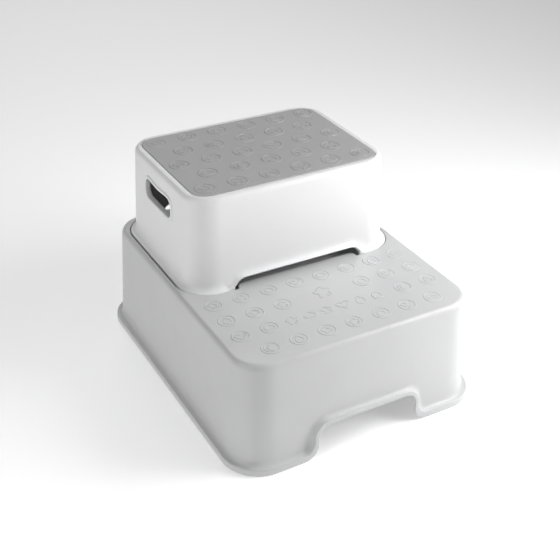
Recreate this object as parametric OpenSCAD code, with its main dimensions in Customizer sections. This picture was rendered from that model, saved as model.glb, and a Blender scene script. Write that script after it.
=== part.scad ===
// Two-step stool for a small child, in two moulded steps.
// The wide base step is a leaning, open-bottomed shell with a flared rim and
// an arched cut-out front and back. The narrower top step drops into a shallow
// pocket in the base tread, where two tongues key into its own arches, and it
// lifts straight off by the hand holes in its sides.
// The origin is the centre of the base's footprint on the floor, +Y is the
// back and +Z is up. Millimetres.

/* [Base step] */
// Width of the base tread, before its edge is rounded
base_w = 284; // [270:1:310]
// Depth of the base tread
base_d = 349; // [330:1:390]
// Height of the base tread above the floor
base_h = 131; // [110:1:160]
// Corner radius of the base tread
base_corner_r = 34.4; // [32:0.2:40]
// Rounding of the edge between tread and walls
base_edge_r = 5.2; // [4:0.1:5.2]
// How far the walls lean out between tread and floor, each side
base_lean = 7; // [3:0.5:10]
// How far the bottom rim stands out from the walls
base_rim_out = 6.5; // [4:0.5:8]
// Height of the rim's upright face
base_rim_h = 8; // [5:0.5:12]

/* [Base cut-outs] */
// Width of the cut-out between the two feet, front and back
base_arch_w = 123; // [90:1:150]
// Height of the cut-out
base_arch_h = 39; // [25:1:50]
// Radius of the cut-out's upper corners
base_arch_r = 13; // [8:0.5:16]
// Radius of the curl at the bottom of each foot
base_foot_r = 18; // [14:0.5:22]

/* [Top step] */
// Width of the top tread, before its edge is rounded
top_w = 247.4; // [230:0.2:255]
// Depth of the top tread
top_d = 181; // [165:1:190]
// Height of the top tread above the floor
total_h = 240.4; // [215:0.2:270]
// How far the top step stands behind the middle of the base
top_y = 66.9; // [55:0.1:66.9]
// Corner radius of the top tread
top_corner_r = 31.2; // [28:0.2:36]
// Rounding of the edge between top tread and walls
top_edge_r = 5; // [3:0.5:8]
// How far the top step's walls lean out, each side
top_lean = 5.2; // [3:0.1:6]
// How far its bottom rim stands out from the walls
top_rim_out = 5.4; // [4:0.1:6]
// Height of that rim's upright face
top_rim_h = 5.5; // [4:0.5:8]

/* [Top cut-outs] */
// Width of the top step's cut-out, front and back
top_arch_w = 159; // [130:1:165]
// Height of that cut-out
top_arch_h = 16.6; // [14:0.1:20]
// Radius of its upper corners
top_arch_r = 12; // [8:0.5:13]

/* [Hand holes] */
// Length of each hand hole, front to back
hole_len = 69; // [60:1:80]
// Height of each hand hole
hole_h = 22.5; // [20:0.5:26]
// Radius of the hole's corners
hole_r = 9; // [6:0.5:10]
// How much the hole's upper edge dips in the middle, under the palm
hole_dip = 1.8; // [0:0.1:3]
// Depth of the flange that runs in from the hole's edge
hole_flange = 6; // [5:0.5:12]
// Distance from the top tread down to the middle of the hole
hole_drop = 33.3; // [28:0.1:40]

/* [Tread mat] */
// Plain border of the top tread around its mat
mat_border = 8.7; // [6:0.1:12]
// Corner radius of the mat
mat_corner_r = 20.6; // [14:0.1:24]
// Thickness of the mat
mat_t = 2.6; // [2:0.1:3.5]
// How much of the mat stands above the tread
mat_proud = 0.6; // [0.3:0.1:1]

/* [Grip rings] */
// Outside diameter of the raised rings on the base tread
base_ring_d = 20; // [14:1:24]
// Outside diameter of the raised rings on the mat
mat_ring_d = 23; // [16:1:26]
// Width of a ring's raised line
ring_line = 1.3; // [1:0.1:2]
// Height of the raised rings
ring_h = 0.5; // [0.3:0.1:0.8]

/* [Shells] */
// Wall thickness
wall_t = 2.8; // [2.4:0.1:3.2]
// Depth of the pocket that the top step stands in
pocket_h = 6; // [5:0.5:7]
// Clearance around the top step in its pocket
pocket_gap = 0.8; // [0.6:0.1:1]
// How far each tongue reaches into the pocket
tongue_len = 9.4; // [6:0.1:10]
// Depth of the ribs under the treads
rib_h = 3.5; // [3:0.5:8]
// Thickness of the ribs where they meet the tread
rib_t = 2; // [1.6:0.1:2.6]
// Thickness of the ribs along their lower edge
rib_tip_t = 1.4; // [1:0.1:1.6]

/* [Rubber feet] */
// Width of the curved rubber strip in each corner of a rim
strip_w = 5; // [4:0.1:5.5]
// Height of the strip
strip_h = 2.5; // [2:0.1:3]
// How much of the strip stands below the rim
strip_proud = 1; // [0.6:0.1:1.5]

/* [Hidden] */
$fn = 48;

corner_steps = 8;     // facets on a quarter circle seen from above
edge_steps = 4;       // facets on a rounded edge or a cove
corner_growth = 0.62; // how much a corner's radius grows as its wall moves out
clear = 1;            // extra length of a cutter past the face that it cuts
bite = 0.3;           // overlap that fuses one shape into another
hair = 0.05;          // keeps two faces that nearly meet out of one plane
strip_inset = 2;      // from the rim's outside to the rubber strip

// Each step is drawn on its own rim, and the rubber strips lift it off
base_size = [base_w, base_d];
base_shell_h = base_h - strip_proud;
base_rim_extra = base_lean + base_rim_out;
base_rim_r = base_corner_r + corner_growth * base_rim_extra;
base_band = 5;        // upright face of the rim along the cut-out
base_ribs = [4, 5];
base_ring_rows = [8, 8, 8, 7];
base_ring_pitch = [33.4, 31.6];
base_plain = [0, 30, 75, 0]; // half the plain stretch in the middle of each row
base_ring_y = -100.5;

top_size = [top_w, top_d];
top_z = base_h - pocket_h + strip_proud;
top_shell_h = total_h - top_z;
top_rim_extra = top_lean + top_rim_out;
top_rim_r = top_corner_r + corner_growth * top_rim_extra;
top_rim_size = [top_w + 2 * top_rim_extra, top_d + 2 * top_rim_extra];
top_cove_h = 9;       // the top step's rim sweeps up into its wall
top_band = 1;
top_curl_r = 2;
top_ribs = [5, 3];

pocket_z = base_shell_h - pocket_h;
tongue_w = top_arch_w - 6;
tongue_r = 6;
hole_z = top_shell_h - hole_drop;
hole_wall_x = top_w / 2 + top_lean * hole_drop / top_shell_h;

mat_size = [top_w - 2 * mat_border, top_d - 2 * mat_border];
mat_recess = mat_t - mat_proud;
mat_ring_rows = [6, 5, 6, 5, 6];
mat_ring_pitch = [39, 32.3];
mat_plain = [0, 0, 0, 0, 0];

// Points of a rounded rectangle at height z, "out" bigger all round than size
function ring(size, out, r, z) =
    [for (quarter = [0:3], i = [0:corner_steps])
        let (a = 90 * (quarter + i / corner_steps),
             side_x = quarter == 0 || quarter == 3 ? 1 : -1,
             side_y = quarter < 2 ? 1 : -1)
        [side_x * (size.x / 2 + out - r) + r * cos(a),
         side_y * (size.y / 2 + out - r) + r * sin(a),
         z]];

// How far a step's wall stands outside its tread at height z
function lean_at(z, h, lean) = lean * (1 - z / h);

// Rings of a step's outside: upright rim, cove, leaning wall, rounded edge
function outside_rings(size, h, r, lean, rim_out, rim_h, cove_h, edge_r) = concat(
    [ring(size, lean + rim_out, r + corner_growth * (lean + rim_out), 0)],
    [for (i = [0:edge_steps])
        let (a = 90 * i / edge_steps,
             z = rim_h + cove_h * (1 - cos(a)),
             wall = lean_at(z, h, lean),
             out = wall + (lean + rim_out - wall) * (1 - sin(a)))
        ring(size, out, r + corner_growth * out, z)],
    [for (i = [0:edge_steps])
        let (a = 90 * i / edge_steps,
             z = h - edge_r * (1 - sin(a)),
             out = lean_at(z, h, lean) - edge_r * (1 - cos(a)))
        ring(size, out, r + corner_growth * out, z)]);

// Rings of the space inside a step, t in from its walls and its tread
function inside_rings(size, h, r, lean, edge_r, t) =
    let (inner_r = edge_r - t / 2)
    concat(
        [let (out = lean_at(-clear, h, lean) - t)
            ring(size, out, r + corner_growth * out, -clear)],
        [for (i = [0:edge_steps])
            let (a = 90 * i / edge_steps,
                 z = h - t - inner_r * (1 - sin(a)),
                 out = lean_at(z, h, lean) - t - inner_r * (1 - cos(a)))
            ring(size, out, r + corner_growth * out, z)]);

// Rings of the space under a flared rim, one wall thickness behind its outside
function under_rim_rings(size, r, lean, rim_out, rim_h, cove_h) =
    let (first = asin(wall_t / (rim_out + wall_t)), face = lean + rim_out - wall_t)
    concat(
        [ring(size, face, r + corner_growth * face, -clear)],
        [for (i = [0:edge_steps])
            let (a = first + (90 - first) * i / edge_steps,
                 z = rim_h + cove_h - (cove_h + wall_t) * cos(a),
                 out = lean + rim_out - (rim_out + wall_t) * sin(a) - (i == edge_steps ? hair : 0))
            ring(size, out, r + corner_growth * out, z)]);

// Points of an arc
function arc(centre, r, from, turn) =
    [for (i = [0:corner_steps])
        let (a = from + turn * i / corner_steps)
        [centre.x + r * cos(a), centre.y + r * sin(a)]];

// Outline of a cut-out that opens at the rim, "grow" bigger all round, whose
// lower end is at height "bottom"
function arch(w, h, corner_r, curl_r, grow, bottom) =
    let (foot_x = w / 2 + curl_r,
         corner_x = w / 2 - corner_r,
         curl = max(curl_r - grow, 0.1),
         r = corner_r + grow)
    concat(
        [[-foot_x, bottom], [foot_x, bottom]],
        arc([foot_x, curl_r], curl, -90, -90),
        arc([corner_x, h - corner_r], r, 0, 90),
        arc([-corner_x, h - corner_r], r, 90, 90),
        arc([-foot_x, curl_r], curl, 0, -90));

// Outline of a hand hole: a slot whose upper edge dips in the middle
function hand_hole(grow) =
    let (x = hole_len / 2 - hole_r, y = hole_h / 2 - hole_r, r = hole_r + grow)
    concat(
        arc([x, y], r, 0, 90),
        [for (i = [1:corner_steps - 1])
            let (t = 1 - 2 * i / corner_steps)
            [x * t, y + r - hole_dip * (1 + cos(180 * t)) / 2]],
        arc([-x, y], r, 90, 90),
        arc([-x, -y], r, 180, 90),
        arc([x, -y], r, 270, 90));

// Solid through a stack of outlines that all have the same number of points
module loft(rings) {
    n = len(rings[0]);
    last = len(rings) - 1;
    polyhedron(
        points = [for (outline = rings) each outline],
        faces = concat(
            [[for (i = [0:n - 1]) i]],
            [[for (i = [n - 1:-1:0]) last * n + i]],
            [for (k = [0:last - 1], i = [0:n - 1])
                [k * n + i, (k + 1) * n + i,
                 (k + 1) * n + (i + 1) % n, k * n + (i + 1) % n]]));
}

// Rounded rectangle seen from above
module plate(size, r) {
    polygon([for (p = ring(size, 0, r, 0)) [p.x, p.y]]);
}

// Stands an outline drawn in x and height upright, running along y
module upright(length) {
    translate([0, length / 2, 0])
        rotate([90, 0, 0])
            linear_extrude(length)
                children();
}

// Stands an outline drawn in y and height upright, running along x from 0
module sideways(length) {
    rotate([90, 0, 90])
        linear_extrude(length)
            children();
}

// Profile of the rim along a cut-out, as steps of [growth of the outline, depth
// behind the rim's face]: the outside, or the space one wall thickness behind it
function band_profile(band, cove_h, rim_out) = concat(
    [[band + cove_h, rim_out + wall_t / 2]],
    [for (i = [0:edge_steps])
        let (a = 90 * i / edge_steps)
        [band + cove_h * (1 - sin(a)), rim_out * cos(a)]]);

function under_band_profile(band, cove_h, rim_out) =
    let (last = acos(wall_t / (rim_out + wall_t)))
    concat(
        [[band + cove_h - hair, rim_out + 3 * wall_t]],
        [for (i = [0:edge_steps])
            let (a = last * i / edge_steps)
            [band + cove_h - hair - (cove_h + wall_t) * sin(a), (rim_out + wall_t) * cos(a)]]);

// Solid around a cut-out in the front wall that follows such a profile and
// leans with the wall by "slope"
module along_arch(w, h, corner_r, curl_r, profile, bottom, rim_y, slope) {
    rotate([90, 0, 0])
        loft([for (step = profile)
            [for (p = arch(w, h, corner_r, curl_r, step[0], bottom))
                [p.x, p.y, rim_y - hair - step[1] - slope * p.y]]]);
}

// One rib along y, thinner at its lower edge so that it leaves the mould
module rib(length, bottom, top) {
    hull() {
        translate([-rib_t / 2, -length / 2, top - bite])
            cube([rib_t, length, bite]);
        translate([-rib_tip_t / 2, -length / 2, bottom])
            cube([rib_tip_t, length, bite]);
    }
}

// Crossing ribs under a tread, counts.x of them along y and counts.y along x
module ribs(size, counts, bottom, top) {
    for (i = [1:counts.x])
        translate([size.x * (i / (counts.x + 1) - 0.5), 0, 0])
            rib(size.y, bottom, top);
    for (i = [1:counts.y])
        translate([0, size.y * (i / (counts.y + 1) - 0.5), 0])
            rotate([0, 0, 90])
                rib(size.x, bottom, top);
}

// Rubber strip in one bottom corner of a rim; side is [-1 or 1, -1 or 1]
module corner_strip(size, r, side) {
    start = side.x > 0 ? (side.y > 0 ? 0 : 270) : (side.y > 0 ? 90 : 180);
    translate([side.x * (size.x / 2 - r), side.y * (size.y / 2 - r), -strip_proud])
        rotate([0, 0, start])
            rotate_extrude(angle = 90)
                translate([r - strip_inset - strip_w, 0])
                    square([strip_w, strip_h]);
}

module corner_strips(size, r) {
    for (x = [-1, 1], y = [-1, 1])
        corner_strip(size, r, [x, y]);
}

// Rows of raised rings, the first row at the back, with "plain" left free
module grip_rings(rows, pitch, plain, d) {
    for (row = [0:len(rows) - 1], i = [0:rows[row] - 1]) {
        x = (i - (rows[row] - 1) / 2) * pitch.x;
        y = ((len(rows) - 1) / 2 - row) * pitch.y;
        if (abs(x) >= plain[row])
            translate([x, y, -bite])
                linear_extrude(ring_h + bite)
                    difference() {
                        circle(d = d, $fn = 12);
                        circle(d = d - 2 * ring_line, $fn = 12);
                    }
    }
}

// Plan of the pocket in the base tread, "grow" bigger all round than the rim
// of the top step, with a tongue left standing in front and behind
module pocket_plan(grow) {
    difference() {
        plate([top_rim_size.x + 2 * grow, top_rim_size.y + 2 * grow], top_rim_r + grow);
        for (side = [-1, 1])
            translate([0, side * (top_rim_size.y / 2 + grow)])
                plate([tongue_w - 2 * (grow - pocket_gap), 2 * tongue_len], tongue_r);
    }
}

module base_inside(t) {
    loft(inside_rings(base_size, base_shell_h, base_corner_r, base_lean, base_edge_r, t));
}

module base_along_arch(profile, bottom) {
    along_arch(base_arch_w, base_arch_h, base_arch_r, base_foot_r, profile, bottom,
               base_d / 2 + base_rim_extra, base_lean / base_shell_h);
}

module base_front_band() {
    base_along_arch(band_profile(base_band, base_rim_out, base_rim_out), base_band / 2);
}

module base_under_front_band() {
    base_along_arch(under_band_profile(base_band, base_rim_out, base_rim_out), -clear);
}

// The space under the flared rim, which stays solid in the corners for the feet
module base_under_rim() {
    difference() {
        loft(under_rim_rings(base_size, base_corner_r, base_lean, base_rim_out,
                             base_rim_h, base_rim_out));
        for (x = [-1, 1], y = [-1, 1])
            translate([x * base_w / 2, y * base_d / 2, 0])
                cube([2 * base_rim_r, 2 * base_rim_r, 4 * base_rim_h], center = true);
    }
}

module base_walls() {
    difference() {
        union() {
            loft(outside_rings(base_size, base_shell_h, base_corner_r, base_lean,
                               base_rim_out, base_rim_h, base_rim_out, base_edge_r));
            base_front_band();
            rotate([0, 0, 180])
                base_front_band();
        }
        difference() {
            base_inside(wall_t);
            translate([0, top_y, pocket_z - wall_t])
                linear_extrude(base_h)
                    pocket_plan(pocket_gap + wall_t);
        }
        base_under_rim();
        base_under_front_band();
        rotate([0, 0, 180])
            base_under_front_band();
    }
    intersection() {
        ribs(base_size, base_ribs, pocket_z - wall_t - rib_h, base_shell_h - bite);
        base_inside(wall_t / 2);
        union() {
            translate([-base_w, -base_d, base_shell_h - wall_t - rib_h])
                cube([2 * base_w, 2 * base_d, base_h]);
            translate([0, top_y, 0])
                linear_extrude(base_h)
                    pocket_plan(pocket_gap + wall_t + rib_h);
        }
    }
    translate([0, base_ring_y, base_shell_h])
        grip_rings(base_ring_rows, base_ring_pitch, base_plain, base_ring_d);
}

module base_shell() {
    color("gainsboro")
        translate([0, 0, strip_proud])
            difference() {
                base_walls();
                translate([0, top_y, pocket_z])
                    linear_extrude(base_h)
                        pocket_plan(pocket_gap);
                upright(2 * base_d)
                    polygon(arch(base_arch_w, base_arch_h, base_arch_r, base_foot_r, 0, -clear));
                corner_strips(base_size + 2 * base_rim_extra * [1, 1], base_rim_r);
            }
}

// One of the base's rubber feet; side is [-1 or 1, -1 or 1]
module base_foot(side) {
    color("dimgray")
        translate([0, 0, strip_proud])
            corner_strip(base_size + 2 * base_rim_extra * [1, 1], base_rim_r, side);
}

module top_inside(t) {
    loft(inside_rings(top_size, top_shell_h, top_corner_r, top_lean, top_edge_r, t));
}

module top_front_band() {
    along_arch(top_arch_w, top_arch_h, top_arch_r, top_curl_r,
               band_profile(top_band, top_cove_h, top_rim_out), top_band / 2,
               top_rim_size.y / 2, top_lean / top_shell_h);
}

module top_walls() {
    difference() {
        union() {
            loft(outside_rings(top_size, top_shell_h, top_corner_r, top_lean,
                               top_rim_out, top_rim_h, top_cove_h, top_edge_r));
            top_front_band();
            rotate([0, 0, 180])
                top_front_band();
        }
        difference() {
            top_inside(wall_t);
            translate([0, 0, top_shell_h - mat_recess - wall_t])
                linear_extrude(mat_recess + wall_t + clear)
                    plate(mat_size + 2 * wall_t * [1, 1], mat_corner_r + wall_t);
        }
    }
    intersection() {
        ribs(top_size, top_ribs, top_shell_h - mat_recess - wall_t - rib_h, top_shell_h - wall_t);
        top_inside(wall_t / 2);
    }
    for (side = [-1, 1])
        translate([side > 0 ? hole_wall_x - hole_flange : -hole_wall_x + bite, 0, hole_z])
            sideways(hole_flange - bite)
                polygon(hand_hole(wall_t));
}

module top_shell() {
    color("white")
        translate([0, top_y, top_z])
            difference() {
                top_walls();
                translate([0, 0, top_shell_h - mat_recess])
                    linear_extrude(mat_t)
                        plate(mat_size, mat_corner_r);
                upright(2 * top_d)
                    polygon(arch(top_arch_w, top_arch_h, top_arch_r, top_curl_r, 0, -clear));
                translate([-top_w, 0, hole_z])
                    sideways(2 * top_w)
                        polygon(hand_hole(0));
                corner_strips(top_rim_size, top_rim_r);
            }
}

module top_mat() {
    color("darkgray")
        translate([0, top_y, total_h - mat_recess]) {
            linear_extrude(mat_t)
                plate(mat_size, mat_corner_r);
            translate([0, 0, mat_t])
                grip_rings(mat_ring_rows, mat_ring_pitch, mat_plain, mat_ring_d);
        }
}

// One of the top step's rubber feet; side is [-1 or 1, -1 or 1]
module top_foot(side) {
    color("dimgray")
        translate([0, top_y, top_z])
            corner_strip(top_rim_size, top_rim_r, side);
}

base_shell();
base_foot([-1, -1]);  // base_foot_front_left
base_foot([1, -1]);  // base_foot_front_right
base_foot([-1, 1]);  // base_foot_back_left
base_foot([1, 1]);  // base_foot_back_right
top_shell();
top_mat();
top_foot([-1, -1]);  // top_foot_front_left
top_foot([1, -1]);  // top_foot_front_right
top_foot([-1, 1]);  // top_foot_back_left
top_foot([1, 1]);  // top_foot_back_right
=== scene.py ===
import math

import bmesh
import bpy
import numpy as np
from mathutils import Matrix, Vector
from mathutils.geometry import tessellate_polygon


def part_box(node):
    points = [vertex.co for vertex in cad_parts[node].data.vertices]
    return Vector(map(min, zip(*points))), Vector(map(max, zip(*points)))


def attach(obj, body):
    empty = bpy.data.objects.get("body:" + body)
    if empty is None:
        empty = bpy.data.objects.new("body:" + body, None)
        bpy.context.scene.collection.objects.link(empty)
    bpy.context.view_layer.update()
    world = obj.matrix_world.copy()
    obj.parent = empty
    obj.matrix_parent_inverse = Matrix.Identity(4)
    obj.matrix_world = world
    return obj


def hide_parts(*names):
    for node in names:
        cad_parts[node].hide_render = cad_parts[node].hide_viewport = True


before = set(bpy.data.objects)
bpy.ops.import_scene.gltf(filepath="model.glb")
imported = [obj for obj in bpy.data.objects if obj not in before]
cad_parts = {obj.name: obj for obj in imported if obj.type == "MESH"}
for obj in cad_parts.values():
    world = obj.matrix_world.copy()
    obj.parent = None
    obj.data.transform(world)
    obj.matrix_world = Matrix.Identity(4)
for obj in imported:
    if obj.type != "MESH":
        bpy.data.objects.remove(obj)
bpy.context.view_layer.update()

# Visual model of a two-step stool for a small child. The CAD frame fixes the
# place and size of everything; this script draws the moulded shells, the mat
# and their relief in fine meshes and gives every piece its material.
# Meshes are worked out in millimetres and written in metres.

MM = 0.001

# ---------------------------------------------------------------- dimensions

WALL = 2.8             # thickness of both shells
EDGE = 0.7             # rounding of a shell's free edge
GROWTH = 0.62          # how much a corner's radius grows as its wall moves out
CORNER_COLUMNS = 12    # mesh columns on half a corner of a shell
POCKET_DEPTH = 6.0
POCKET_GAP = 0.8
TONGUE_LENGTH = 9.4
MAT_RECESS = 2.0
RING_H = 0.5           # height of the raised relief
RING_LINE = 1.3        # width of a raised ring
FIGURE_LINE = 1.1      # width of a raised figure's line
SINK = 0.25            # how far a raised shape is rooted in its surface
RIB_DEPTH, RIB_ROOT, RIB_TIP = 3.5, 2.0, 1.4
SKIRT_TOP = 2.5        # plain wall above the cove that is still drawn as part of the rim


def span(node, axis):
    """Lowest and highest coordinate of a CAD node along one axis, in millimetres."""
    low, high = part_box(node)
    return low[axis] / MM, high[axis] / MM


class Step:
    """One moulded step: an open-bottomed shell with a flared rim."""

    def __init__(self, node, tread_z, **values):
        self.__dict__.update(values)
        x0, x1 = span(node, 0)
        y0, y1 = span(node, 1)
        out = self.lean + self.rim_out
        self.rim = (x1 - x0, y1 - y0)
        self.size = (x1 - x0 - 2 * out, y1 - y0 - 2 * out)
        self.centre_y = (y0 + y1) / 2
        self.bottom = span(node, 2)[0]
        self.height = tread_z - self.bottom
        self.straight = [side / 2 - self.corner_r for side in self.size]
        self.wall_r = self.corner_r + GROWTH * self.lean / 2
        self.quarter = self.wall_r * math.pi / 2

    def lean_at(self, z):
        return self.lean * (1 - z / self.height)

    def radius(self, out):
        return self.corner_r + GROWTH * out


base = Step(
    "base_shell", span("base_shell", 2)[1] - RING_H,
    lean=7.0, rim_out=6.5, rim_h=8.0, cove_h=6.5, corner_r=34.4,
    edge_out=5.2, edge_h=7.5,
    arch_w=123.0, arch_h=39.0, arch_r=13.0, curl_r=18.0, arch_band=5.0,
    transition_columns=26)

top = Step(
    "top_shell", span("top_shell", 2)[1],
    lean=5.2, rim_out=5.4, rim_h=5.5, cove_h=9.0, corner_r=31.2,
    edge_out=5.0, edge_h=6.5,
    arch_w=159.0, arch_h=16.6, arch_r=12.0, curl_r=2.0, arch_band=1.0,
    transition_columns=22)

hole_length, hole_height, hole_radius, hole_dip = 69.0, 22.5, 9.0, 1.8
hole_flange = 6.0
hole_bead = (4.0, 1.0)  # width and height of the raised bead round a hole
hole_z = top.height - 33.3
hole_window = 47.0     # half the length of the patch of wall drawn round a hole
hole_window_z = (hole_z - 22.5, hole_z + 22.0)


# -------------------------------------------------------------- mesh building

class Sheet:
    """Vertices in millimetres and the faces between them; "flats" holds the
    first and last index of each flat patch."""

    def __init__(self):
        self.points = []
        self.faces = []
        self.flats = []

    def add(self, points):
        first = len(self.points)
        self.points.extend(tuple(float(c) for c in p) for p in points)
        return list(range(first, len(self.points)))

    def bridge(self, ring_a, ring_b):
        """Quads between two closed rings of the same number of points."""
        n = len(ring_a)
        for i in range(n):
            j = (i + 1) % n
            self.faces.append((ring_a[i], ring_a[j], ring_b[j], ring_b[i]))

    def skin(self, rings):
        for ring_a, ring_b in zip(rings, rings[1:]):
            self.bridge(ring_a, ring_b)

    def fill(self, outer, *holes):
        """Flat face inside an outline, round any holes."""
        loops = [outer, *holes]
        index = [i for loop in loops for i in loop]
        vectors = [[Vector(self.points[i]) for i in loop] for loop in loops]
        first = len(self.faces)
        for triangle in tessellate_polygon(vectors):
            self.faces.append(tuple(index[i] for i in triangle))
        self.flats.append((first, len(self.faces)))

    def piece(self, name, material):
        """A Blender object of this sheet, every face turned outwards."""
        mesh = bpy.data.meshes.new(name)
        mesh.from_pydata([[c * MM for c in p] for p in self.points], [], self.faces)
        edit = bmesh.new()
        edit.from_mesh(mesh)
        edit.faces.ensure_lookup_table()
        for first, last in self.flats:
            flat = set(edit.faces[first:last])
            inner = {e for face in flat for e in face.edges if set(e.link_faces) <= flat}
            bmesh.ops.beautify_fill(edit, faces=list(flat), edges=list(inner), method="ANGLE")
            edit.faces.ensure_lookup_table()
        bmesh.ops.recalc_face_normals(edit, faces=edit.faces)
        edit.to_mesh(mesh)
        edit.free()
        mesh.materials.append(material)
        mesh.polygons.foreach_set("use_smooth", [True] * len(mesh.polygons))
        piece = bpy.data.objects.new(name, mesh)
        bpy.context.scene.collection.objects.link(piece)
        return piece


def quarter_turn(steps):
    """Cosine and sine at even steps through a quarter circle, both ends included."""
    return [(math.cos(a), math.sin(a)) for a in np.linspace(0, math.pi / 2, steps + 1)]


def arc_points(centre, radius, start, end, steps):
    """Points on an arc, angles in degrees, both ends included."""
    angles = np.radians(np.linspace(start, end, steps + 1))
    return [(centre[0] + radius * math.cos(a), centre[1] + radius * math.sin(a)) for a in angles]


def spread(points, count):
    """The same line, with "count" points spaced evenly along it."""
    points = np.array(points)
    steps = np.hypot(*np.diff(points, axis=0).T)
    travelled = np.concatenate([[0], np.cumsum(steps)])
    wanted = np.linspace(0, travelled[-1], count)
    return np.stack([np.interp(wanted, travelled, points[:, k]) for k in (0, 1)], axis=1)


# ------------------------------------------------------------- shape of a step

def place(step, side, along, z, out):
    """A point of a step's wall: "along" runs round the wall from the middle of
    that side, and "out" is how far the point lies outside the tread's outline."""
    half_along = step.size[side % 2] / 2
    half_out = step.size[(side + 1) % 2] / 2
    straight = step.straight[side % 2]
    r = step.radius(out)
    reach = half_along + out - r
    a = abs(along)
    if a <= straight:
        ease = max(0.0, (a / straight - 0.75) / 0.25)
        x, y = a + (reach - straight) * ease, half_out + out
    else:
        turn = (a - straight) / step.wall_r
        x, y = reach + r * math.sin(turn), half_out + out - r + r * math.cos(turn)
    x = math.copysign(x, along)
    x, y = [(x, -y), (y, x), (-x, y), (-y, -x)][side]
    return (x, y + step.centre_y, z + step.bottom)


def cut_out(step, d):
    """Half of the line at distance d above the rim's lower edge, from the middle
    of the corner in to the middle of the cut-out, as (along, height)."""
    start = step.straight[0] + step.quarter / 2
    curl = math.hypot(max(step.curl_r - d, 0.0), 2.0)
    corner = (step.arch_w / 2 - step.arch_r, step.arch_h - step.arch_r)
    r = step.arch_r + d
    z = d + curl
    if z <= corner[1]:
        curl_x, curl_end, corner_start = corner[0] + r + curl, 180.0, 0.0
    else:
        dx = math.sqrt((r + curl) ** 2 - (z - corner[1]) ** 2)
        corner_start = math.degrees(math.atan2(z - corner[1], dx))
        curl_x, curl_end = corner[0] + dx, 180.0 + corner_start
    flat = [(x, d) for x in np.linspace(start, curl_x, CORNER_COLUMNS)]
    bend = arc_points((curl_x, z), curl, 270, curl_end, 24)
    bend += arc_points(corner, r, corner_start, 90, 24)
    lintel = [(x, step.arch_h + d) for x in np.linspace(corner[0], 0, 8)]
    return [*flat, *spread(bend, step.transition_columns)[1:], *lintel[1:]]


def arch_weight(step):
    """How far each point of cut_out belongs to the cut-out rather than the rim."""
    flat = [0.0] * CORNER_COLUMNS
    fade = np.linspace(0, 1, step.transition_columns)[1:]
    ease = np.clip(fade / 0.5, 0, 1)
    return [*flat, *(ease * ease * (3 - 2 * ease)), *[1.0] * 7]


def front_line(step, rim_d, arch_d):
    """The whole line across the front at one distance from the lower edge, which
    may differ between the rim and the cut-out, left to right."""
    half = [
        (a + (c - a) * w, b + (d - b) * w)
        for (a, b), (c, d), w in zip(cut_out(step, rim_d), cut_out(step, arch_d), arch_weight(step))]
    return [(-x, z) for x, z in half] + [(x, z) for x, z in reversed(half[:-1])]


def front_top(step):
    """Where the front's columns reach the top of the wall: the shoulder's column
    comes up from beside the cut-out, the lintel's from over its flat part."""
    start = step.straight[0] + step.quarter / 2
    shoulder = step.arch_w / 2 + 0.6 * step.curl_r + 4
    lintel = 0.85 * (step.arch_w / 2 - step.arch_r)
    half = [*np.linspace(start, shoulder, CORNER_COLUMNS),
            *np.linspace(shoulder, lintel, step.transition_columns)[1:],
            *np.linspace(lintel, 0, 8)[1:]]
    return [-x for x in half] + list(reversed(half[:-1]))


def side_columns(step):
    """Where the side walls have their columns, with one at each end of the hand hole."""
    start = step.straight[1] + step.quarter / 2
    straight = step.straight[1]
    half = [*np.linspace(start, straight, 7), *np.linspace(straight, hole_window, 4)[1:],
            *np.linspace(hole_window, 0, 12)[1:]]
    return [-y for y in half] + list(reversed(half[:-1]))


def skirt(step):
    """Profile of the rim from the wall outside, down the cove and the upright
    face, round the lower edge and up again inside: (band, rise, flare), where
    the distance from the edge is band times the face's height plus the rise."""
    nose = 1.3         # rounding of the top of the rim's face
    out = step.rim_out
    profile = [(1, step.cove_h + SKIRT_TOP, 0.0), (1, step.cove_h + 1.0, 0.0)]
    profile += [(1, step.cove_h * (1 - c), (out - nose) * (1 - s))
                for c, s in reversed(quarter_turn(9))]
    profile += [(1, -nose * (1 - s), out - nose + nose * c) for c, s in reversed(quarter_turn(4))][1:]
    profile += [(0.5, 0.0, out)]
    profile += [(0, EDGE * (1 - s), out - EDGE * (1 - c)) for c, s in quarter_turn(3)]
    profile += [(0, EDGE * (1 - c), out - WALL + EDGE * (1 - s)) for c, s in quarter_turn(3)]
    inner_rise, inner_out = step.cove_h + WALL, out + WALL
    first = math.asin(WALL / inner_out)
    profile += [(0.4, 0.0, out - WALL)]
    for a in np.linspace(first, math.pi / 2, 9):
        profile.append((1, step.cove_h - inner_rise * math.cos(a), out - inner_out * math.sin(a)))
    profile += [(1, step.cove_h + SKIRT_TOP, -WALL)]
    return profile


def wall_row(step, share, top_z, thick):
    """One row of (along, z, out) between the skirt and the rounded top edge."""
    rim_d = step.rim_h + step.cove_h + SKIRT_TOP
    arch_d = step.arch_band + step.cove_h + SKIRT_TOP
    low = {"front": front_line(step, rim_d, arch_d), "side": [(y, rim_d) for y in side_columns(step)]}
    high = {"front": front_top(step), "side": side_columns(step)}
    row = {}
    for face in ("front", "side"):
        row[face] = []
        for (a, z), b in zip(low[face], high[face]):
            height = z + (top_z - z) * share
            row[face].append((a + (b - a) * share, height, step.lean_at(height) - thick))
    return row


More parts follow.
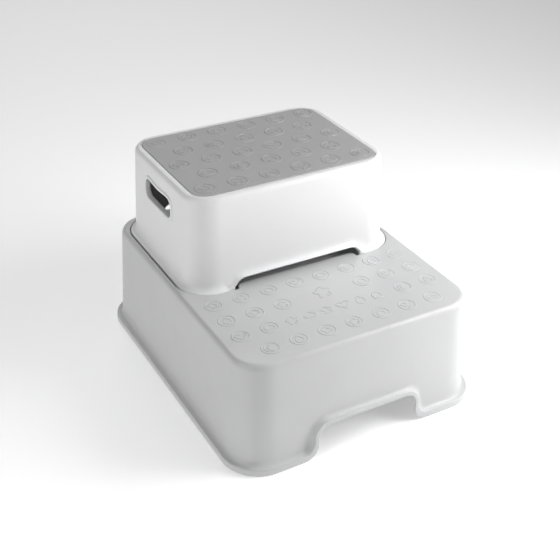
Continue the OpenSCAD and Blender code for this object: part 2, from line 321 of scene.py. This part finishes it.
def all_rows(step, shares):
    """Every row of a shell's wall from the tread outside to the tread inside, as
    (part, share, row). A row is a dict of the front's and the side's points
    (along, z, out), and share says how far up the wall it lies."""
    h = step.height
    outer_top = h - step.edge_h
    inner_h = h - WALL
    inner_out = step.edge_out - WALL / 2
    inner_top = inner_h - (step.edge_h - WALL / 2)

    def level(z, out):
        return {"front": [(a, z, out) for a in front_top(step)],
                "side": [(a, z, out) for a in side_columns(step)]}

    rows = []
    for c, s in quarter_turn(10)[::-1]:
        z = h - step.edge_h * (1 - s)
        rows.append(("edge", 1, level(z, step.lean_at(z) - step.edge_out * (1 - c))))
    for share in shares[-2:0:-1]:
        rows.append(("outside", share, wall_row(step, share, outer_top, 0.0)))
    for band, rise, flare in skirt(step):
        rim_z = band * step.rim_h + rise
        front = front_line(step, rim_z, band * step.arch_band + rise)
        side = [(a, rim_z, step.lean_at(rim_z) + flare) for a in side_columns(step)]
        front = [(a, z, step.lean_at(z) + flare) for a, z in front]
        rows.append(("skirt", 0, {"front": front, "side": side}))
    for share in shares[1:-1]:
        rows.append(("inside", share, wall_row(step, share, inner_top, WALL)))
    for c, s in quarter_turn(6):
        z = inner_top + (inner_h - inner_top) * s
        rows.append(("under", 1, level(z, step.lean_at(z) - WALL - inner_out * (1 - c))))
    return rows


def draw_wall(sheet, step, shares, window=None):
    """The wall, rim and rounded edges of a shell. Returns (part, share, ring) for
    each row, where a ring runs right round from the front left corner. "window"
    is the part of each side wall to leave open: (share, share, column, column)."""
    front_count = len(front_top(step)) - 1
    side_count = len(side_columns(step)) - 1
    rings = []
    for part, share, row in all_rows(step, shares):
        points = []
        for side, face in enumerate(("front", "side", "front", "side")):
            points += [place(step, side, *p) for p in row[face][:-1]]
        rings.append((part, share, sheet.add(points)))
    total = 2 * (front_count + side_count)
    for (part_a, share_a, ring_a), (part_b, share_b, ring_b) in zip(rings, rings[1:]):
        for i in range(total):
            column = i % (front_count + side_count) - front_count
            if window and part_a == part_b and part_a in ("outside", "inside"):
                in_height = min(share_a, share_b) >= window[0] and max(share_a, share_b) <= window[1]
                if in_height and window[2] <= column < window[3]:
                    continue
            j = (i + 1) % total
            sheet.faces.append((ring_a[i], ring_a[j], ring_b[j], ring_b[i]))
    return rings


def draw_corner_pads(sheet, step):
    """The rim is solid in its four corners, where the rubber feet are let in."""
    centre_z = step.rim_h + step.cove_h
    section = [(step.rim_out - 0.7 * WALL, 0.05)]
    for a in np.linspace(math.radians(15), math.pi / 2, 6):
        section.append((step.rim_out - (step.rim_out + WALL / 2) * math.sin(a),
                        centre_z - (step.cove_h + WALL / 2) * math.cos(a)))
    section += [(-WALL - 0.1, centre_z), (-WALL - 0.1, 0.6), (-WALL + 0.5, 0.05)]
    for side in range(4):
        straight = step.straight[side % 2]
        rows = []
        for along in np.linspace(straight, straight + step.quarter, 13):
            points = [place(step, side, along, z, step.lean_at(z) + out) for out, z in section]
            rows.append(sheet.add(points))
        sheet.skin(rows)
        sheet.fill(rows[0])
        sheet.fill(rows[-1])


def level_ring(step, z, out):
    """A whole ring of the wall's columns at one height."""
    points = []
    for side, columns in enumerate((front_top(step), side_columns(step)) * 2):
        points += [place(step, side, a, z, out) for a in columns[:-1]]
    return points


# -------------------------------------------------------------- flat outlines

def rounded_outline(corners, grow, steps=8):
    """Outline through (x, y, radius) corners, anticlockwise, "grow" bigger all round."""
    n = len(corners)
    xy = [np.array(c[:2], float) for c in corners]
    points = []
    for i, corner in enumerate(corners):
        to_here = xy[i] - xy[i - 1]
        onward = xy[(i + 1) % n] - xy[i]
        to_here /= np.linalg.norm(to_here)
        onward /= np.linalg.norm(onward)
        normal_a = np.array([to_here[1], -to_here[0]])
        normal_b = np.array([onward[1], -onward[0]])
        turn = 1 if to_here[0] * onward[1] - to_here[1] * onward[0] > 0 else -1
        r = max(corner[2] + turn * grow, 0.05)
        tip = xy[i] + grow * (normal_a + normal_b)
        centre = tip - turn * r * (normal_a + normal_b)
        start = math.atan2(turn * normal_a[1], turn * normal_a[0])
        for t in np.linspace(0, turn * math.pi / 2, steps + 1):
            points.append((centre[0] + r * math.cos(start + t), centre[1] + r * math.sin(start + t)))
    return points


def pocket_corners():
    """The pocket that the top step stands in, as big as that step's rim, with a
    tongue standing in it front and back."""
    x, y = top.rim[0] / 2, top.rim[1] / 2
    r = top.radius(top.lean + top.rim_out)
    tongue_x = (top.arch_w - 6) / 2
    tongue_y = y - TONGUE_LENGTH
    front = [(-x, -y, r), (-tongue_x, -y, 1.2), (-tongue_x, -tongue_y, 6.0),
             (tongue_x, -tongue_y, 6.0), (tongue_x, -y, 1.2), (x, -y, r)]
    return front + [(-a, -b, c) for a, b, c in front]


def mat_corners():
    x0, x1 = span("top_mat", 0)
    y0, y1 = span("top_mat", 1)
    x, y, r = (x1 - x0) / 2, (y1 - y0) / 2, 20.6
    return [(-x, -y, r), (x, -y, r), (x, y, r), (-x, y, r)]


def draw_tray(sheet, corners, rim_z, floor_z, grow, rounding):
    """A rounded recess in a tread, from its rim down to its floor; both recesses,
    the pocket and the mat's, lie centred under the top step. Returns the ring
    where the recess meets the tread."""
    def ring(extra, z):
        return sheet.add([(x, y + top.centre_y, z) for x, y in rounded_outline(corners, grow + extra)])

    rings = [ring(rounding + 1.0, rim_z)]
    rings += [ring(rounding * (1 - s), rim_z - rounding * (1 - c)) for c, s in quarter_turn(4)]
    rings += [ring(-rounding * (1 - c), floor_z + rounding * (1 - s)) for c, s in quarter_turn(3)]
    rings.append(ring(-rounding - 0.6, floor_z))
    sheet.skin(rings)
    sheet.fill(rings[-1])
    return rings[0]


def draw_tread(sheet, step, outer_ring, inner_ring, corners, floor_z, grow, rounding):
    """The tread of a step, with a recess in it, and its underside."""
    z = step.height + step.bottom
    edge = sheet.add(level_ring(step, step.height, -step.edge_out + step.lean_at(step.height) - 1.0))
    sheet.bridge(outer_ring, edge)
    hole = draw_tray(sheet, corners, z, floor_z, grow, rounding)
    sheet.fill(edge, hole)
    under = z - WALL
    tray = draw_tray(sheet, corners, under, floor_z - WALL, grow + WALL, 0.6)
    sheet.fill(inner_ring, tray)


# ------------------------------------------------------------------ raised relief

def raised_line(sheet, path, z, width, height):
    """A rounded ridge along a closed path in plan, rooted in the surface at height z."""
    path = np.array(path, float)
    ahead = np.roll(path, -1, axis=0) - path
    behind = path - np.roll(path, 1, axis=0)
    ahead /= np.linalg.norm(ahead, axis=1)[:, None]
    behind /= np.linalg.norm(behind, axis=1)[:, None]
    direction = ahead + behind
    direction /= np.linalg.norm(direction, axis=1)[:, None]
    normal = np.stack([-direction[:, 1], direction[:, 0]], axis=1)
    mitre = 1 / np.clip(np.sum(direction * ahead, axis=1), 0.6, 1)
    section = [(0.5, -SINK), (0.5, 0.1 * height), (0.4, 0.6 * height), (0.2, height),
               (-0.2, height), (-0.4, 0.6 * height), (-0.5, 0.1 * height), (-0.5, -SINK)]
    rows = []
    for across, up in section:
        xy = path + normal * (width * across * mitre)[:, None]
        rows.append(sheet.add(np.column_stack([xy, np.full(len(path), z + up)])))
    sheet.skin([*rows, rows[0]])


def circle_path(r, x, y):
    return [(x + r * math.cos(a), y + r * math.sin(a))
            for a in np.linspace(0, 2 * math.pi, 40, endpoint=False)]


def star_path(r):
    return [(r * k * math.sin(a), r * k * math.cos(a))
            for i, a in enumerate(np.linspace(0, 2 * math.pi, 10, endpoint=False))
            for k in [1.0 if i % 2 == 0 else 0.5]]


def flower_path(r):
    turns = np.linspace(0, 2 * math.pi, 40, endpoint=False)
    reach = [r * (0.78 + 0.22 * math.cos(5 * a)) for a in turns]
    return [(k * math.sin(a), k * math.cos(a)) for k, a in zip(reach, turns)]


def heart_path(r):
    return [(r * math.sin(a) ** 3,
             r * (0.8 * math.cos(a) - 0.32 * math.cos(2 * a) - 0.12 * math.cos(3 * a) + 0.1))
            for a in np.linspace(0, 2 * math.pi, 36, endpoint=False)]


def moon_path(r):
    back = arc_points((0, 0), r, 60, 300, 20)
    inner = arc_points((0.5 * r, 0), math.sin(math.radians(60)) * r, 270, 90, 12)[1:-1]
    return back + inner


def drop_path(r):
    return arc_points((0, -0.25 * r), 0.72 * r, -220, 40, 20) + [(0.0, r)]


def cloud_path(r):
    return (arc_points((0.5 * r, -0.1 * r), 0.42 * r, -90, 60, 8)
            + arc_points((0.0, 0.2 * r), 0.5 * r, 20, 150, 8)
            + arc_points((-0.5 * r, -0.1 * r), 0.42 * r, 110, 270, 8))


def house_path(r):
    half, floor, eaves, ridge = 0.7 * r, -0.75 * r, 0.1 * r, 0.85 * r
    return [(-half, floor), (half, floor), (half, eaves), (0, ridge), (-half, eaves)]


FIGURES = [star_path, moon_path, heart_path, flower_path, drop_path, cloud_path, house_path]


def raised_figure(sheet, number, x, y, z, radius):
    """One of the figures, drawn in a finer line than the rings."""
    path = FIGURES[number % len(FIGURES)](radius)
    raised_line(sheet, [(x + a, y + b) for a, b in path], z, FIGURE_LINE, 0.9 * RING_H)


def grip_pattern(sheet, rows, pitch, plain, diameter, centre_y, z):
    """Rows of raised rings with a figure in each; "plain" is half the stretch
    without rings in the middle of a row."""
    count = 0
    for row, number in enumerate(rows):
        y = centre_y + ((len(rows) - 1) / 2 - row) * pitch[1]
        for i in range(number):
            x = (i - (number - 1) / 2) * pitch[0]
            if abs(x) < plain[row]:
                continue
            circle = circle_path((diameter - RING_LINE) / 2, x, y)
            raised_line(sheet, circle, z, RING_LINE, RING_H)
            raised_figure(sheet, 3 * count + row, x, y, z, 0.31 * diameter)
            count += 1


def loose_figures(sheet, number, pitch, x, y, z, radius):
    """A row of figures without rings, centred at x."""
    for i in range(number):
        raised_figure(sheet, 2 * i + 3, x + (i - (number - 1) / 2) * pitch, y, z, radius)


# -------------------------------------------------------------------- materials

def plastic(name, colour, shade, roughness, grain):
    """Moulded plastic: a fine spark-eroded grain, faint flow marks in colour and gloss."""
    material = bpy.data.materials.new(name)
    material.use_nodes = True
    tree = material.node_tree
    shader = tree.nodes["Principled BSDF"]
    shader.inputs["IOR"].default_value = 1.49
    place_at = tree.nodes.new("ShaderNodeTexCoord")

    def noise(scale, detail, rough=0.5):
        node = tree.nodes.new("ShaderNodeTexNoise")
        node.inputs["Scale"].default_value = scale
        node.inputs["Detail"].default_value = detail
        node.inputs["Roughness"].default_value = rough
        tree.links.new(place_at.outputs["Object"], node.inputs["Vector"])
        return node

    def spread_over(source, low, high, value_low, value_high):
        node = tree.nodes.new("ShaderNodeMapRange")
        node.inputs["From Min"].default_value = low
        node.inputs["From Max"].default_value = high
        node.inputs["To Min"].default_value = value_low
        node.inputs["To Max"].default_value = value_high
        tree.links.new(source, node.inputs["Value"])
        return node.outputs["Result"]

    flow = noise(14, 3)
    mix = tree.nodes.new("ShaderNodeMix")
    mix.data_type = "RGBA"
    mix.inputs["A"].default_value = (*colour, 1)
    mix.inputs["B"].default_value = (*shade, 1)
    tree.links.new(spread_over(flow.outputs["Fac"], 0.35, 0.65, 0, 1), mix.inputs["Factor"])
    tree.links.new(mix.outputs["Result"], shader.inputs["Base Color"])
    smudge = noise(45, 5, 0.6)
    tree.links.new(spread_over(smudge.outputs["Fac"], 0.3, 0.7, roughness - 0.04, roughness + 0.05),
                   shader.inputs["Roughness"])
    fine = noise(1800, 2)
    bump = tree.nodes.new("ShaderNodeBump")
    bump.inputs["Strength"].default_value = grain * 4
    bump.inputs["Distance"].default_value = 0.0001
    tree.links.new(fine.outputs["Fac"], bump.inputs["Height"])
    tree.links.new(bump.outputs["Normal"], shader.inputs["Normal"])
    return material


base_plastic = plastic("light_grey_plastic", (0.57, 0.572, 0.577), (0.556, 0.557, 0.562), 0.34, grain=0.04)
top_plastic = plastic("white_plastic", (0.78, 0.78, 0.785), (0.768, 0.768, 0.773), 0.34, grain=0.03)
mat_rubber = plastic("grey_mat_rubber", (0.395, 0.395, 0.398), (0.378, 0.378, 0.381), 0.48, grain=0.25)
foot_rubber = plastic("foot_rubber", (0.3, 0.3, 0.3), (0.28, 0.28, 0.28), 0.7, grain=0.25)


# ------------------------------------------------------------ ribs under a tread

RECESS_SIZE = {
    base: [span("top_shell", 0), span("top_shell", 1)],
    top: [span("top_mat", 0), span("top_mat", 1)],
}


def draw_ribs(sheet, step, counts, floor_z):
    """Shallow tapered ribs under a tread, hanging from the tray of its recess and,
    beside that, from the tread itself."""
    tread_under = step.bottom + step.height - WALL
    tray_under = floor_z - WALL
    recess = RECESS_SIZE[step]
    for axis in (0, 1):
        other = 1 - axis
        half = step.size[axis] / 2 - WALL / 2
        centre = (0.0, step.centre_y)
        for i in range(1, counts[axis] + 1):
            across = step.size[other] * (i / (counts[axis] + 1) - 0.5) + centre[other]
            beside = not recess[other][0] < across < recess[other][1]
            marks = [centre[axis] - half, *recess[axis], centre[axis] + half]
            for k, (start, end) in enumerate(zip(marks, marks[1:])):
                under = tread_under if beside or k != 1 else tray_under
                corners = []
                for z, thick in ((under - RIB_DEPTH, RIB_TIP), (under + WALL / 2, RIB_ROOT)):
                    for a, b in ((start, -1), (end, -1), (end, 1), (start, 1)):
                        point = [0.0, 0.0, z]
                        point[axis] = a
                        point[other] = across + b * thick / 2
                        corners.append(point)
                v = sheet.add(corners)
                sheet.bridge(v[:4], v[4:])
                sheet.faces.append(tuple(v[:4]))
                sheet.faces.append(tuple(v[4:]))


# ------------------------------------------------------------------- base step

def draw_base():
    sheet = Sheet()
    rings = draw_wall(sheet, base, list(np.linspace(0, 1, 9)))
    floor_z = base.bottom + base.height - POCKET_DEPTH
    draw_tread(sheet, base, rings[0][2], rings[-1][2], pocket_corners(), floor_z, POCKET_GAP, 0.7)
    draw_ribs(sheet, base, (5, 4), floor_z)
    draw_corner_pads(sheet, base)
    z = base.bottom + base.height
    grip_pattern(sheet, [8, 8, 8, 7], (33.4, 31.6), [0, 30, 75, 0], 20, -100.5, z)
    loose_figures(sheet, 1, 0, 0, -84, z, 11)
    loose_figures(sheet, 6, 21, -4, -116, z, 7.5)
    return sheet.piece("base_step_shell", base_plastic)


# -------------------------------------------------------------------- top step

def hole_outline(grow):
    """Outline of a hand hole as (along, height): its upper edge dips in the middle."""
    x, y, r = hole_length / 2 - hole_radius, hole_height / 2 - hole_radius, hole_radius + grow
    dip = [(x * t, y + r - hole_dip * (1 + math.cos(math.pi * t)) / 2)
           for t in np.linspace(1, -1, 25)[1:-1]]
    return (arc_points((x, y), r, 0, 90, 10) + dip + arc_points((-x, y), r, 90, 180, 10)
            + arc_points((-x, -y), r, 180, 270, 10) + arc_points((x, -y), r, 270, 360, 10))


def draw_hand_hole(sheet, side, outer_window, inner_window):
    """A hand hole with a shallow groove and a raised bead round it and a flange
    that runs in, set in the open patch of one side wall."""
    def ring(grow, depth):
        points = []
        for a, b in hole_outline(grow):
            z = hole_z + b
            points.append(place(top, side, a if side == 1 else -a, z, top.lean_at(z) - depth))
        return sheet.add(points)

    wide, proud = hole_bead
    groove = ((2.0, 0), (0.9, 0), (0.5, 0.1), (0.2, 0.5), (0, 0.5))
    rings = [ring(wide + grow, depth) for grow, depth in groove]
    rings += [ring(wide - 0.4 * wide * (1 - c), 0.3 - (proud + 0.3) * s) for c, s in quarter_turn(5)]
    rings += [ring(0.4 * wide * (1 - s), 1.2 * proud * (1 - c) - proud) for c, s in quarter_turn(6)]
    rings += [ring(EDGE * (1 - c), hole_flange - EDGE + EDGE * s) for c, s in quarter_turn(3)]
    rings += [ring(WALL - EDGE + EDGE * s, hole_flange - EDGE + EDGE * c) for c, s in quarter_turn(3)]
    rings += [ring(WALL + 1.5 * (1 - c), WALL + 1.5 * (1 - s)) for c, s in quarter_turn(4)]
    rings.append(ring(WALL + 3.0, WALL))
    sheet.skin(rings)
    sheet.fill(outer_window, rings[0])
    sheet.fill(inner_window, rings[-1])


def window_loop(rings, part, shares, first, last):
    """The edge of the open patch of a side wall."""
    rows = [ring for name, share, ring in rings if name == part and shares[0] <= share <= shares[1]]
    right = [ring[last] for ring in rows[1:-1]]
    left = [ring[first] for ring in rows[1:-1]]
    return rows[0][first:last + 1] + right + rows[-1][first:last + 1][::-1] + left[::-1]


def draw_top():
    sheet = Sheet()
    low = top.rim_h + top.cove_h + SKIRT_TOP
    high = top.height - top.edge_h
    window = [(z - low) / (high - low) for z in hole_window_z]
    shares = [*np.linspace(0, window[0], 5), *np.linspace(*window, 6)[1:], 1.0]
    columns = side_columns(top)
    front_count = len(front_top(top)) - 1
    first, last = [int(np.argmin([abs(y - end) for y in columns]))
                   for end in (-hole_window, hole_window)]
    rings = draw_wall(sheet, top, shares, (*window, first, last))
    floor_z = top.bottom + top.height - MAT_RECESS
    draw_tread(sheet, top, rings[0][2], rings[-1][2], mat_corners(), floor_z, 0.15, 0.4)
    draw_ribs(sheet, top, (3, 5), floor_z)
    draw_corner_pads(sheet, top)
    for side in (1, 3):
        start = front_count + (side == 3) * (front_count + len(columns) - 1)
        loops = [window_loop(rings, part, window, start + first, start + last)
                 for part in ("outside", "inside")]
        draw_hand_hole(sheet, side, *loops)
    return sheet.piece("top_step_shell", top_plastic)


def draw_mat():
    sheet = Sheet()
    low, high = span("top_mat", 2)
    high -= RING_H
    corners = mat_corners()

    def ring(grow, z):
        return sheet.add([(x, y + top.centre_y, z) for x, y in rounded_outline(corners, grow)])

    rings = [ring(-1.0, low), ring(-0.2, low)]
    rings += [ring(-0.2 - 1.2 * (1 - c), high - 0.6 * (1 - s)) for c, s in quarter_turn(5)]
    rings.append(ring(-3.0, high))
    sheet.skin(rings)
    sheet.fill(rings[0])
    sheet.fill(rings[-1])
    grip_pattern(sheet, [6, 5, 6, 5, 6], (39, 32.3), [0] * 5, 23, top.centre_y, high)
    return sheet.piece("top_tread_mat", mat_rubber)


for piece, body, node, slot_name in (
        (draw_base(), "base_step", "base_shell", "base_plastic"),
        (draw_top(), "top_step", "top_shell", "top_plastic"),
        (draw_mat(), "top_step", "top_mat", "mat_rubber")):
    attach(piece, body)
    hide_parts(node)

for name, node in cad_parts.items():
    if "_foot_" in name:
        node.data.materials.clear()
        node.data.materials.append(foot_rubber)


# ------------------------------------------------------- camera, floor and light

FLOOR_GLOW = 0.3       # light that the floor gives off by itself
LIGHTS_AIM = (0, 0, 0.12)


def look_from(azimuth, elevation, roll, position, focal_length):
    """Camera at a position in millimetres, with the view's own angles in degrees."""
    a, e, turn = (math.radians(v) for v in (azimuth, elevation, roll))
    back = Vector((math.sin(a) * math.cos(e), -math.cos(a) * math.cos(e), math.sin(e)))
    right = (-back).cross(Vector((0, 0, 1))).normalized()
    down = (-back).cross(right)
    rolled_right = right * math.cos(turn) - down * math.sin(turn)
    rolled_down = right * math.sin(turn) + down * math.cos(turn)
    lens = bpy.data.cameras.new("camera")
    lens.sensor_width = 36.0
    lens.lens = focal_length
    camera = bpy.data.objects.new("camera", lens)
    turn_matrix = Matrix((rolled_right, -rolled_down, back)).transposed()
    camera.matrix_world = Matrix.Translation(Vector(position) * MM) @ turn_matrix.to_4x4()
    bpy.context.scene.collection.objects.link(camera)
    bpy.context.scene.camera = camera


look_from(-29.69, 32.11, 0.92, (-487.0, -843.7, 711.2), 63.2308)


def softbox(name, position, target, size, watts):
    light = bpy.data.lights.new(name, "AREA")
    light.shape = "RECTANGLE"
    light.size, light.size_y = size
    light.energy = watts
    lamp = bpy.data.objects.new(name, light)
    lamp.location = position
    lamp.rotation_euler = (Vector(target) - Vector(position)).to_track_quat("-Z", "Y").to_euler()
    lamp.visible_camera = False
    bpy.context.scene.collection.objects.link(lamp)


def draw_floor():
    """A pale table, lit a little from below as in a light tent."""
    mesh = bpy.data.meshes.new("floor")
    half = 6.0
    corners = [(-half, -half, 0), (half, -half, 0), (half, half, 0), (-half, half, 0)]
    mesh.from_pydata(corners, [], [(0, 1, 2, 3)])
    material = bpy.data.materials.new("floor")
    material.use_nodes = True
    shader = material.node_tree.nodes["Principled BSDF"]
    shader.inputs["Base Color"].default_value = (0.95, 0.95, 0.95, 1)
    shader.inputs["Roughness"].default_value = 0.9
    shader.inputs["Emission Color"].default_value = (1, 1, 1, 1)
    shader.inputs["Emission Strength"].default_value = FLOOR_GLOW
    mesh.materials.append(material)
    floor = bpy.data.objects.new("floor", mesh)
    bpy.context.scene.collection.objects.link(floor)


def draw_world(strength):
    """Dark surroundings that look like the floor where the floor ends."""
    world = bpy.data.worlds.new("studio")
    world.use_nodes = True
    tree = world.node_tree
    sky = tree.nodes["Background"]
    sky.inputs["Color"].default_value = (1, 1, 1, 1)
    sky.inputs["Strength"].default_value = strength
    backdrop = tree.nodes.new("ShaderNodeBackground")
    backdrop.inputs["Color"].default_value = (1, 1, 1, 1)
    backdrop.inputs["Strength"].default_value = FLOOR_GLOW + 0.05
    path = tree.nodes.new("ShaderNodeLightPath")
    mix = tree.nodes.new("ShaderNodeMixShader")
    tree.links.new(path.outputs["Is Camera Ray"], mix.inputs["Fac"])
    tree.links.new(sky.outputs["Background"], mix.inputs[1])
    tree.links.new(backdrop.outputs["Background"], mix.inputs[2])
    tree.links.new(mix.outputs["Shader"], tree.nodes["World Output"].inputs["Surface"])
    bpy.context.scene.world = world


draw_floor()
draw_world(0.03)
bpy.context.scene.view_settings.view_transform = "Standard"
for name, position, size, watts in (
        ("overhead", (0.3, 0.3, 1.6), (1.2, 1.2), 3.5),
        ("front_right", (1.3, -1.5, 1.6), (1.2, 1.2), 5.5),
        ("close_low", (0.5, -0.5, 0.35), (0.3, 0.3), 1.9),
        ("close_high", (0.5, -0.3, 0.58), (0.4, 0.4), 3.9),
        ("left", (-1.6, -0.4, 1.0), (1.2, 1.2), 15.0),
        ("back", (0.3, 2.0, 1.6), (1.4, 1.0), 10.5)):
    softbox(name + "_softbox", position, LIGHTS_AIM, size, watts)
